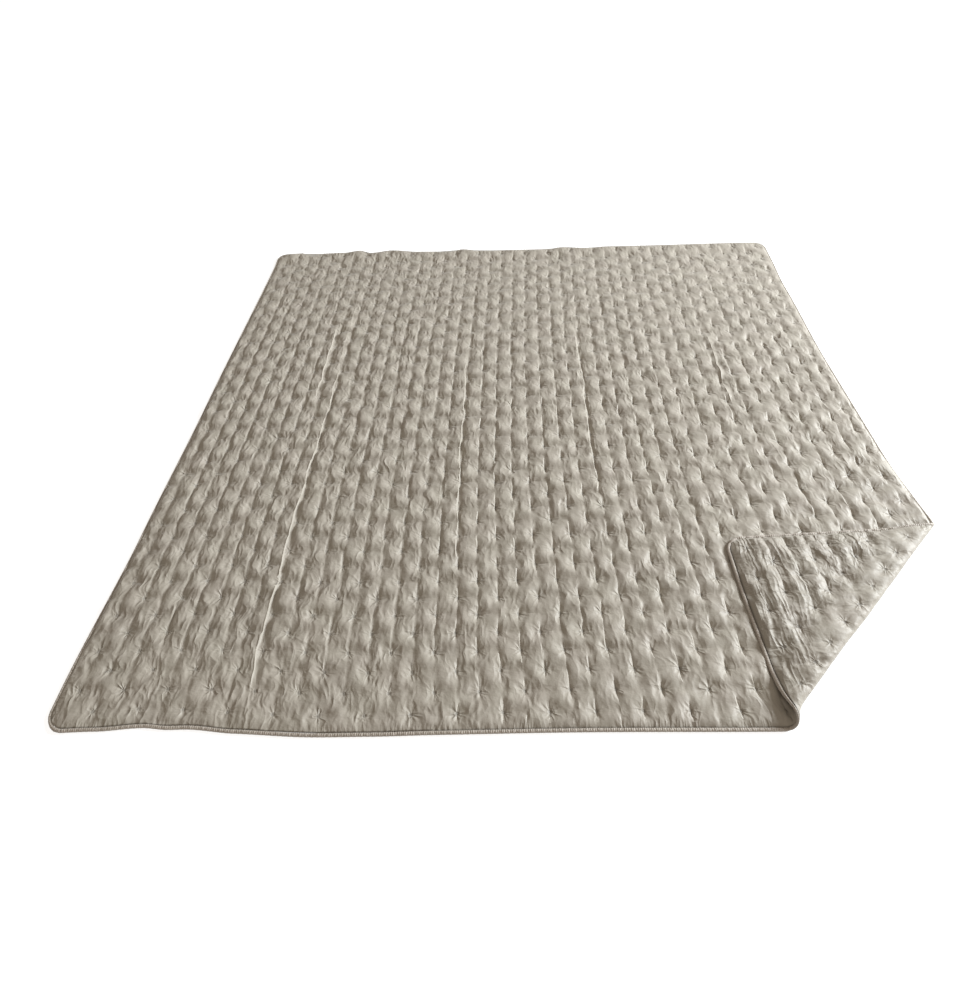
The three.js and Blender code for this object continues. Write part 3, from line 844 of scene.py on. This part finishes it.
def make_quilt():
    """The padded panel as one closed piece: face, backing and the wall between them."""
    count_u, count_v = FACE_U.shape
    face = np.arange(FACE_U.size).reshape(FACE_U.shape)
    u, v = rounded(FACE_U, FACE_V)
    points = [place(u, v, FACE_HEIGHT).reshape(-1, 3)]
    flat = [np.stack([u, v], -1).reshape(-1, 2)]
    lines_u = backing_lines(count_u, TURNED_U, STEPS_ACROSS)
    lines_v = backing_lines(count_v, TURNED_V, STEPS_BACK)
    back = face.size + np.arange(len(lines_u) * len(lines_v)).reshape(len(lines_u), len(lines_v))
    back_u, back_v, back_height = backing(lines_u, lines_v)
    back_u, back_v = rounded(back_u, back_v)
    points.append(place(back_u, back_v, back_height).reshape(-1, 3))
    flat.append(np.stack([back_u, back_v], -1).reshape(-1, 2))
    faces = quads(face).reshape(-1, 4).tolist() + quads(back)[..., ::-1].reshape(-1, 4).tolist()
    for upper, lower, lines in (
        (face[:, 0], back[:, 0], lines_u),
        (face[-1, :], back[-1, :], lines_v),
        (face[::-1, -1], back[::-1, -1], count_u - 1 - lines_u[::-1]),
        (face[0, ::-1], back[0, ::-1], count_v - 1 - lines_v[::-1]),
    ):
        for k in range(len(lines) - 1):
            top = upper[lines[k]: lines[k + 1] + 1][::-1].tolist()
            faces.append([int(lower[k]), int(lower[k + 1])] + top)
    uv = np.concatenate(flat) / PANEL_SPAN + 0.5
    quilt = new_piece("quilt_panel", to_part(np.concatenate(points)), faces, uv)
    away, sharp = crease_marks(FACE_U, FACE_V)
    out, along = fold_place(back_u, back_v)
    sooner = TURNED_MARK["sooner"] * smoothstep(along, *TURNED_MARK["along"])
    turned = smoothstep(out + sooner, TURNED_MARK["from"], TURNED_MARK["to"])
    for name, on_face, on_back in (
        ("crease_away", away, np.full(back.shape, NO_CREASE)),
        ("crease_sharp", sharp, np.zeros(back.shape)),
        ("turned", np.zeros(face.shape), turned),
    ):
        values = np.append(on_face, on_back).astype(np.float32)
        quilt.data.attributes.new(name, "FLOAT", "POINT").data.foreach_set("value", values)
    soft = (FACE_U < SOFT_LIPS["left_of"]) | (FACE_V > SOFT_LIPS["behind"])
    soft = np.append(soft & (away > SOFT_LIPS["past_crest"]), np.zeros(back.size, bool))
    keep_sharp(quilt.data, ~soft)
    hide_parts("quilt")
    return quilt


# Binding

def roll_section(angle):
    """Reach from the rim and height of the binding's section at an angle from outward."""
    inner = BINDING["half_width"] * math.cos(math.pi / 6)
    reach = BINDING["gap"] + inner + BINDING["half_width"] * np.cos(angle)
    return reach, BINDING["middle"] + BINDING["half_height"] * np.sin(angle)


def roll_pucker(places):
    """Small uneven cross puckers of the binding along the rim."""
    total = np.zeros(np.shape(places))
    for row in BINDING_PUCKERS:
        sway = row["sway"] * np.sin(places / row["sway_length"])
        total = total + row["depth"] * np.sin(places * 2 * np.pi / row["length"] + sway)
    return total


def slimmer(u, v, out_u, out_v):
    """Share of the binding's full size: less on every side but the front and the turned corner."""
    facing = SLIM_BINDING["facing"]
    side = np.maximum(smoothstep(np.abs(out_u), *facing), smoothstep(out_v, *facing))
    turned = smoothstep(fold_place(u, v)[0], -SLIM_BINDING["before_fold"], 0)
    return 1 - SLIM_BINDING["share"] * side * (1 - turned)


def make_binding():
    """The rolled binding: a closed soft tube with small cross puckers."""
    sides = BINDING["sides"]
    places, u, v, out_u, out_v = rim_path(BINDING["step"])
    angle = (np.arange(sides) + 0.5) * 2 * np.pi / sides
    reach, height = roll_section(angle)
    pucker = roll_pucker(places[:, None] + PUCKER_LEAN * np.sin(angle))
    pucker = pucker * (1 - PUCKER_TOP + PUCKER_TOP * np.sin(angle))
    slim = slimmer(u, v, out_u, out_v)[:, None]
    reach = np.maximum(reach + pucker * np.cos(angle), LEAST_BINDING["reach"]) * slim
    height = np.maximum(height + pucker * np.sin(angle), LEAST_BINDING["height"]) * slim
    around_u = u[:, None] + reach * out_u[:, None]
    around_v = v[:, None] + reach * out_v[:, None]
    points = place(around_u, around_v, height).reshape(-1, 3)
    ring = np.arange(len(u) * sides).reshape(len(u), sides)
    after = np.roll(ring, -1, axis=0)
    faces = np.stack([ring, after, np.roll(after, -1, axis=1), np.roll(ring, -1, axis=1)], -1)
    along = np.broadcast_to(places[:, None] / BINDING_SPAN, ring.shape)
    around = np.broadcast_to(angle * BINDING["half_width"] / BINDING_SPAN, ring.shape)
    uv = np.stack([along, around], -1).reshape(-1, 2)
    binding = new_piece("edge_binding", to_part(points), faces.reshape(-1, 4)[:, ::-1].tolist(), uv)
    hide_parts("binding")
    return binding


# Threads

def threads(name, paths, radius):
    """Short threads along rows of points in the part's frame, joined into one mesh."""
    count, steps = paths.shape[:2]
    along = np.gradient(paths, axis=1)
    along /= np.linalg.norm(along, axis=-1, keepdims=True)
    side = np.cross(along, np.broadcast_to((0.0, 0.0, 1.0), along.shape))
    side /= np.linalg.norm(side, axis=-1, keepdims=True)
    up = np.cross(side, along)
    angle = np.arange(THREAD_SIDES) * 2 * np.pi / THREAD_SIDES + np.pi / THREAD_SIDES
    circle = side[:, :, None] * np.cos(angle)[:, None] + up[:, :, None] * np.sin(angle)[:, None]
    points = paths[:, :, None] + radius * circle
    index = np.arange(count * steps * THREAD_SIDES).reshape(count, steps, THREAD_SIDES)
    low, high = index[:, :-1], index[:, 1:]
    walls = np.stack([low, np.roll(low, -1, axis=2), np.roll(high, -1, axis=2), high], -1)
    faces = walls.reshape(-1, 4).tolist() + index[:, 0, ::-1].tolist() + index[:, -1].tolist()
    return new_piece(name, points.reshape(-1, 3), faces)


def make_tacks():
    """One thread in each tack on the face, and on the backing where the corner is turned."""
    across, back = tack_lines()
    reach = np.array((-1.0, -0.75, 0.0, 0.75, 1.0))
    rise = np.array((-0.9, 0.2, 0.5, 0.2, -0.9))
    half = np.where(IS_LONG, TACK_THREAD["long"], TACK_THREAD["short"])[:, None]
    lean = chance.normal(0, TACK_THREAD["lean"], len(across))[:, None]
    u = FACE_U[across, back][:, None] + half * reach * lean
    v = FACE_V[across, back][:, None] + half * reach
    face = place(u, v, FACE_HEIGHT[across, back][:, None] + rise)
    turned = fold_place(FACE_U[across, back], FACE_V[across, back])[0] > TACK_THREAD["past_fold"]
    v = FACE_V[across, back][turned, None] + TACK_THREAD["under"] * reach
    under = place(u[turned], v, BACK_DRAW - rise)
    paths = to_part(np.concatenate([face, under]))
    piece = threads("tack_threads", paths, TACK_THREAD["radius"] * MM)
    return piece


def make_seam():
    """The row of stitches that holds the binding, along its inner edge."""
    places, u, v, out_u, out_v = rim_path(SEAM["step"])
    shift = np.array((-1.0, 0.0, 1.0)) * SEAM["half_length"]
    rise = np.array((-0.5, 0.2, -0.5)) + roll_pucker(places)[:, None]
    reach, height = roll_section(math.radians(SEAM["angle"]))
    along_u, along_v = -out_v, out_u
    slim = slimmer(u, v, out_u, out_v)[:, None]
    at_u = u[:, None] + reach * slim * out_u[:, None] + shift * along_u[:, None]
    at_v = v[:, None] + reach * slim * out_v[:, None] + shift * along_v[:, None]
    paths = to_part(place(at_u, at_v, (height + rise) * slim))
    piece = threads("seam_stitches", paths, SEAM["radius"] * MM)
    return piece


quilt = make_quilt()
binding = make_binding()
tacks = make_tacks()
seam = make_seam()
for piece in (quilt, binding, tacks, seam):
    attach(piece, "root")


# Parts of materials

def node(tree, kind, links=(), **values):
    """A shader node with its values set and its inputs set or linked."""
    made = tree.nodes.new(kind)
    for name, value in values.items():
        setattr(made, name, value)
    for key, source in dict(links).items():
        if isinstance(source, bpy.types.NodeSocket):
            tree.links.new(source, made.inputs[key])
        else:
            made.inputs[key].default_value = source
    return made


def reckon(tree, operation, *values):
    """A Math node on links or numbers."""
    return node(tree, "ShaderNodeMath", enumerate(values), operation=operation).outputs[0]


def add_up(tree, *values):
    total = values[0]
    for value in values[1:]:
        total = reckon(tree, "ADD", total, value)
    return total


def swing(tree, mask, share, middle=0.0):
    """A value about a middle: a mask from 0 to 1 moves it by half the share each way."""
    return reckon(tree, "MULTIPLY_ADD", mask, share, middle - share / 2)


def fade(tree, value, start, end, low=0.0, high=1.0):
    """Smooth change from low to high while the value goes from start to end."""
    limits = {"Value": value, "From Min": start, "From Max": end, "To Min": low, "To Max": high}
    return node(tree, "ShaderNodeMapRange", limits, interpolation_type="SMOOTHSTEP").outputs[0]


def fade_out(tree, value, start, end):
    return fade(tree, value, start, end, low=1.0, high=0.0)


def noise(tree, places, scale=1.0, detail=1.0):
    links = {"Vector": places, "Scale": scale, "Detail": detail}
    return node(tree, "ShaderNodeTexNoise", links).outputs[0]


def ridges(tree, places, detail=1.0):
    """Folds with sharp bottoms: how far a noise lies from its middle."""
    return reckon(tree, "ABSOLUTE", reckon(tree, "SUBTRACT", noise(tree, places, detail=detail), 0.5))


def drawn_out(tree, places, scale, turn=0):
    """Places scaled across and back, and turned by an angle in degrees, for a noise to follow."""
    links = {"Vector": places, "Rotation": (0, 0, math.radians(turn)), "Scale": scale}
    return node(tree, "ShaderNodeMapping", links).outputs[0]


def swayed(tree, places, scale, reach):
    """Places that a noise moves about."""
    drift = node(tree, "ShaderNodeTexNoise", {"Vector": places, "Scale": scale, "Detail": 1.0})
    links = {0: drift.outputs["Color"], 1: (reach, reach, 0), 2: places}
    return node(tree, "ShaderNodeVectorMath", links, operation="MULTIPLY_ADD").outputs[0]


def across_and_back(tree, places):
    parts = node(tree, "ShaderNodeSeparateXYZ", {0: places}).outputs
    return parts["X"], parts["Y"]


def own_mark(tree, name):
    """The piece's own value of a name at each point."""
    return node(tree, "ShaderNodeAttribute", attribute_name=name).outputs["Fac"]


def bump(tree, height):
    """Normal from a height in millimetres."""
    return node(tree, "ShaderNodeBump", {"Height": height, "Distance": MM, "Strength": 1.0}).outputs[0]


def new_material(name):
    material = bpy.data.materials.new(name)
    material.use_nodes = True
    return material, material.node_tree, material.node_tree.nodes["Principled BSDF"].inputs


# Satin

def satin_cloth():
    """Satin over soft wadding: colour, roughness and height, from flat places in millimetres."""
    tree = bpy.data.node_groups.new("satin_cloth", "ShaderNodeTree")
    sockets = (
        ("Flat", "INPUT", "NodeSocketVector"), ("Colour", "INPUT", "NodeSocketColor"),
        ("Crumple", "INPUT", "NodeSocketFloat"),
        ("Colour", "OUTPUT", "NodeSocketColor"), ("Roughness", "OUTPUT", "NodeSocketFloat"),
        ("Height", "OUTPUT", "NodeSocketFloat"),
    )
    for name, way, kind in sockets:
        tree.interface.new_socket(name, in_out=way, socket_type=kind)
    given = tree.nodes.new("NodeGroupInput").outputs
    flat = given["Flat"]
    bent = swayed(tree, flat, **CRUMPLE_SWAY)
    crumples = []
    for fold in CRUMPLE_FOLDS:
        scale = (fold["scale"], fold["scale"] * CRUMPLE_STRETCH, 1)
        ridge = ridges(tree, drawn_out(tree, bent, scale, fold["turn"]))
        here = fade(tree, noise(tree, flat, fold["patches"]), **CRUMPLE_PATCHES)
        crumples.append(reckon(tree, "MULTIPLY", ridge, here))
    soft = noise(tree, bent, SOFT_CRUMPLE["scale"], SOFT_CRUMPLE["detail"])
    crumples.append(reckon(tree, "MULTIPLY", soft, SOFT_CRUMPLE["share"]))
    clouds, grain, tint = (
        noise(tree, flat, marks["scale"], marks["detail"]) for marks in (CLOUDS, GRAIN, TINT)
    )
    weave = noise(tree, drawn_out(tree, flat, WEAVE["scale"]), detail=WEAVE["detail"])
    deep = reckon(tree, "MULTIPLY", given["Crumple"], -1.0)
    height = add_up(
        tree,
        reckon(tree, "MULTIPLY", add_up(tree, *crumples), deep),
        reckon(tree, "MULTIPLY", grain, GRAIN["height"]),
        reckon(tree, "MULTIPLY", weave, WEAVE["height"]),
    )
    tone = add_up(
        tree,
        swing(tree, clouds, CLOUDS["tone"], middle=1.0),
        swing(tree, weave, WEAVE["tone"]),
        swing(tree, grain, GRAIN["tone"]),
    )
    hue = swing(tree, tint, TINT["hue"], middle=0.5)
    changes = {"Color": given["Colour"], "Value": tone, "Hue": hue}
    colour = node(tree, "ShaderNodeHueSaturation", changes).outputs[0]
    roughness = add_up(
        tree,
        reckon(tree, "MULTIPLY_ADD", clouds, CLOUDS["roughness"], SATIN_ROUGHNESS),
        reckon(tree, "MULTIPLY", weave, WEAVE["roughness"]),
    )
    node(tree, "NodeGroupOutput", {"Colour": colour, "Roughness": roughness, "Height": height})
    return tree


SATIN_CLOTH = satin_cloth()


def cloth_places(tree, span, middle):
    """Flat places in millimetres from the piece's own UV map."""
    uv = node(tree, "ShaderNodeUVMap", uv_map="cloth").outputs[0]
    links = {"Vector": uv, "Scale": (span, span, 1), "Location": (-middle, -middle, 0)}
    return node(tree, "ShaderNodeMapping", links).outputs[0]


def lay_satin(tree, flat, colour, crumple):
    """The satin cloth in a material."""
    links = {"Flat": flat, "Colour": colour, "Crumple": crumple}
    return node(tree, "ShaderNodeGroup", links, node_tree=SATIN_CLOTH).outputs


def finish_satin(tree, shader, cloth, shade, height):
    """Joins the satin to the shader, with a material's own height and its change of value, which carries
    the painted shade and highlights.
    """
    colour = node(tree, "ShaderNodeHueSaturation", {"Color": cloth["Colour"], "Value": shade})
    tree.links.new(colour.outputs[0], shader["Base Color"])
    tree.links.new(cloth["Roughness"], shader["Roughness"])
    tree.links.new(bump(tree, height), shader["Normal"])
    for name, value in SATIN_SHADER.items():
        shader[name].default_value = value


def tack_puckers(tree, flat):
    """Puckers that run out from each tack, and the hollow at the tack itself, whose mask also paints shade
    into the hollow.
    """
    links = {"Vector": flat, "Scale": (1 / TACK_PITCH, 1 / TACK_PITCH, 1)}
    links["Location"] = (-FIRST_COLUMN / TACK_PITCH, -FIRST_ROW / TACK_PITCH, 0)
    across, back = across_and_back(tree, node(tree, "ShaderNodeMapping", links).outputs[0])
    one = reckon(tree, "MULTIPLY_ADD", add_up(tree, across, back), 0.5, -0.5)
    two = reckon(tree, "MULTIPLY_ADD", reckon(tree, "SUBTRACT", across, back), 0.5, -0.5)
    number_one, number_two = reckon(tree, "ROUND", one), reckon(tree, "ROUND", two)
    one, two = reckon(tree, "SUBTRACT", one, number_one), reckon(tree, "SUBTRACT", two, number_two)
    off_u = reckon(tree, "ADD", one, two)
    off_v = reckon(tree, "SUBTRACT", one, two)
    away = reckon(tree, "MULTIPLY", TACK_PITCH, reckon(tree, "SQRT", add_up(
        tree, reckon(tree, "MULTIPLY", off_u, off_u), reckon(tree, "MULTIPLY", off_v, off_v))))
    near = reckon(tree, "MAXIMUM", away, 1.0)
    toward = reckon(tree, "DIVIDE", TACK_PITCH * STAR_CREASES["rays"], near)
    ray_u, ray_v = reckon(tree, "MULTIPLY", off_u, toward), reckon(tree, "MULTIPLY", off_v, toward)
    spread = node(tree, "ShaderNodeCombineXYZ", {
        "X": reckon(tree, "MULTIPLY_ADD", number_one, STARS_APART["one"], ray_u),
        "Y": reckon(tree, "MULTIPLY_ADD", number_two, STARS_APART["two"], ray_v),
        "Z": reckon(tree, "MULTIPLY", away, STAR_CREASES["bend"]),
    }).outputs[0]
    begin = fade(tree, away, *STAR_REACH["begin"])
    band = reckon(tree, "MULTIPLY", begin, fade_out(tree, away, *STAR_REACH["end"]))
    rays = reckon(tree, "MULTIPLY", ridges(tree, spread), band)
    deep = fade(tree, back, *STAR_CREASES["rows"], -STAR_CREASES["front"], -STAR_CREASES["back"])
    patches = noise(tree, flat, STAR_PATCHES["scale"])
    limits = (STAR_PATCHES[name] for name in ("start", "end", "low", "high"))
    deep = reckon(tree, "MULTIPLY", deep, fade(tree, patches, *limits))
    hollow = fade_out(tree, away, *TACK_HOLLOW["reach"])
    rays = reckon(tree, "MULTIPLY", rays, deep)
    return reckon(tree, "MULTIPLY_ADD", hollow, -TACK_HOLLOW["depth"], rays), hollow


def rim_gathers(tree, flat):
    """Small gathers where the panel is sewn into its binding, and a mask of painted shade in the ditch in
    front.
    """
    across, back = across_and_back(tree, flat)
    from_side = reckon(tree, "SUBTRACT", HALF_WIDTH, reckon(tree, "ABSOLUTE", across))
    from_end = reckon(tree, "SUBTRACT", HALF_LENGTH, reckon(tree, "ABSOLUTE", back))
    total = []
    for inward, scale in (
        (from_side, (RIM_GATHER["long"], RIM_GATHER["fine"], 1)),
        (from_end, (RIM_GATHER["fine"], RIM_GATHER["long"], 1)),
    ):
        beside = fade_out(tree, inward, *RIM_GATHER["reach"])
        total.append(reckon(tree, "MULTIPLY", ridges(tree, drawn_out(tree, flat, scale)), beside))
    most, least = -RIM_GATHER["depth"], -RIM_GATHER["least"] * RIM_GATHER["depth"]
    patches = noise(tree, flat, RIM_PATCHES["scale"])
    deep = fade(tree, patches, RIM_PATCHES["start"], RIM_PATCHES["end"], least, most)
    front = fade_out(tree, back, *RIM_DITCH_SHADE["front"])
    ditch = reckon(tree, "MULTIPLY", fade_out(tree, from_end, *RIM_DITCH_SHADE["reach"]), front)
    return reckon(tree, "MULTIPLY", add_up(tree, *total), deep), ditch


def turned_wrinkles(tree, flat):
    """Wrinkles of the turned corner, and long gathers beside its front side."""
    _, back = across_and_back(tree, flat)
    front = fade_out(tree, back, *(TURNED_FRONT[end] - HALF_LENGTH for end in ("from", "to")))
    total = []
    for row in TURNED_WRINKLES:
        places = drawn_out(tree, swayed(tree, flat, TURNED_SWAY, row["sway"]), row["scale"])
        deep = reckon(tree, "MULTIPLY_ADD", front, row["inside"] - row["front"], -row["inside"])
        total.append(reckon(tree, "MULTIPLY", ridges(tree, places, row["detail"]), deep))
    return add_up(tree, *total)


def crease_bump(tree):
    """Sharp crests of the packing folds, and a mask of them for a painted highlight."""
    near = fade_out(tree, own_mark(tree, "crease_away"), *CREST["reach"])
    crest = reckon(tree, "MULTIPLY", near, own_mark(tree, "crease_sharp"))
    return reckon(tree, "MULTIPLY", crest, CREST["depth"]), crest


def quilted_satin():
    material, tree, shader = new_material("quilted_taupe_satin")
    flat = cloth_places(tree, PANEL_SPAN, PANEL_SPAN / 2)
    across, _ = across_and_back(tree, flat)
    turned = own_mark(tree, "turned")
    crumple = fade(tree, across, *CRUMPLE["across"], CRUMPLE["left"], CRUMPLE["right"])
    crumple = reckon(tree, "MULTIPLY_ADD", turned, CRUMPLE["flap"], crumple)
    cloth = lay_satin(tree, flat, SATIN_COLOUR, crumple)
    puckers, hollow = tack_puckers(tree, flat)
    crests, crest = crease_bump(tree)
    rim, ditch = rim_gathers(tree, flat)
    shade = 1.0
    for mask, change in (
        # painted shade that darkens the tack hollows
        (hollow, TACK_HOLLOW["shade"]),
        # a painted highlight along the crests of the packing folds
        (crest, CREST["shade"]),
        # painted shade in the ditch beside the front binding
        (ditch, RIM_DITCH_SHADE["shade"]),
        # painted shade over the turned corner
        (turned, TURNED_PAINTED_SHADE),
    ):
        shade = reckon(tree, "MULTIPLY_ADD", mask, change, shade)
    wrinkles = reckon(tree, "MULTIPLY", turned, turned_wrinkles(tree, flat))
    height = add_up(tree, cloth["Height"], puckers, rim, crests, wrinkles)
    finish_satin(tree, shader, cloth, shade, height)
    return material


def binding_satin():
    material, tree, shader = new_material("rolled_taupe_satin")
    flat = cloth_places(tree, BINDING_SPAN, 0)
    cloth = lay_satin(tree, flat, BINDING_COLOUR, CRUMPLE["binding"])
    along, _ = across_and_back(tree, flat)
    patches = noise(tree, flat, BINDING_RIBS["patches"])
    shift = reckon(tree, "MULTIPLY", patches, BINDING_RIBS["uneven"])
    turns = reckon(tree, "MULTIPLY_ADD", along, 2 * math.pi / BINDING_RIBS["length"], shift)
    ribs = reckon(tree, "SINE", turns)
    # Painted highlight on the tops of the ribs and painted shade between them
    shade = reckon(tree, "MULTIPLY_ADD", ribs, BINDING_RIBS["shade"], 1.0)
    height = reckon(tree, "MULTIPLY_ADD", ribs, BINDING_RIBS["depth"], cloth["Height"])
    finish_satin(tree, shader, cloth, shade, height)
    return material


def sewing_thread():
    material, tree, shader = new_material("pale_sewing_thread")
    places = node(tree, "ShaderNodeTexCoord").outputs["Object"]
    links = {"Vector": places, "Scale": THREAD_TWIST["scale"], "Distortion": THREAD_TWIST["distortion"]}
    twist = node(tree, "ShaderNodeTexWave", links, bands_direction="DIAGONAL").outputs["Fac"]
    links = {0: twist, 6: THREAD_COLOURS[0], 7: THREAD_COLOURS[1]}
    colour = node(tree, "ShaderNodeMix", links, data_type="RGBA").outputs[2]
    rough = reckon(tree, "MULTIPLY_ADD", twist, THREAD_TWIST["rough"], THREAD_TWIST["least_rough"])
    height = reckon(tree, "MULTIPLY", twist, THREAD_TWIST["depth"])
    tree.links.new(colour, shader["Base Color"])
    tree.links.new(rough, shader["Roughness"])
    tree.links.new(bump(tree, height), shader["Normal"])
    return material


quilt.data.materials.append(quilted_satin())
binding.data.materials.append(binding_satin())
THREAD = sewing_thread()
tacks.data.materials.append(THREAD)
seam.data.materials.append(THREAD)


# Floor, light and camera

def make_stage():
    """A pale floor, an even fill and one large soft light low on the right."""
    bpy.ops.object.select_all(action="DESELECT")
    bpy.ops.mesh.primitive_plane_add(size=FLOOR["size"], location=FLOOR["place"])
    floor = bpy.context.object
    floor.name = "floor"
    bpy.ops.object.transform_apply(location=True, rotation=True, scale=True)
    material, _, shader = new_material("pale_floor")
    shader["Base Color"].default_value = FLOOR_COLOUR
    shader["Roughness"].default_value = FLOOR["roughness"]
    shader["Specular IOR Level"].default_value = FLOOR["specular"]
    shader["Emission Color"].default_value = (1, 1, 1, 1)
    shader["Emission Strength"].default_value = FLOOR["glow"]
    floor.data.materials.append(material)
    scene = bpy.context.scene
    scene.view_settings.view_transform = "Standard"
    world = scene.world or bpy.data.worlds.new("studio")
    scene.world = world
    world.use_nodes = True
    sky = world.node_tree.nodes["Background"].inputs
    sky["Color"].default_value = FILL_COLOUR
    sky["Strength"].default_value = STUDIO_LIGHT["fill"]
    lean, turn = math.radians(90 - STUDIO_LIGHT["elevation"]), math.radians(STUDIO_LIGHT["from_right"])
    toward = (math.sin(lean) * math.cos(turn), math.sin(lean) * math.sin(turn), math.cos(lean))
    spot = np.array(toward) * STUDIO_LIGHT["distance"]
    bpy.ops.object.light_add(type="AREA", location=spot, rotation=(0, lean, turn))
    softbox = bpy.context.object.data
    softbox.shape = "DISK"
    softbox.size = STUDIO_LIGHT["size"]
    softbox.energy = STUDIO_LIGHT["power"]
    softbox.color = KEY_COLOUR


def aim_camera():
    """The camera stands and looks as the one that took the photograph."""
    yaw, pitch, roll = (math.radians(angle) for angle in (CAMERA_YAW, CAMERA_PITCH, CAMERA_ROLL))
    ahead = math.cos(pitch)
    forward = np.array((math.sin(yaw) * ahead, math.cos(yaw) * ahead, -math.sin(pitch)))
    level = np.array((math.cos(yaw), -math.sin(yaw), 0))
    down = np.cross(forward, level)
    right = math.cos(roll) * level + math.sin(roll) * down
    down = -math.sin(roll) * level + math.cos(roll) * down
    bpy.ops.object.camera_add(location=CAMERA_PLACE)
    camera = bpy.context.object
    axes = Matrix((right, -down, -forward)).transposed()
    camera.rotation_euler = axes.to_euler()
    camera.data.sensor_fit = "HORIZONTAL"
    camera.data.sensor_width = SENSOR_WIDTH
    camera.data.lens = FOCAL_PIXELS / PHOTO_WIDTH * SENSOR_WIDTH
    bpy.context.scene.camera = camera


make_stage()
aim_camera()
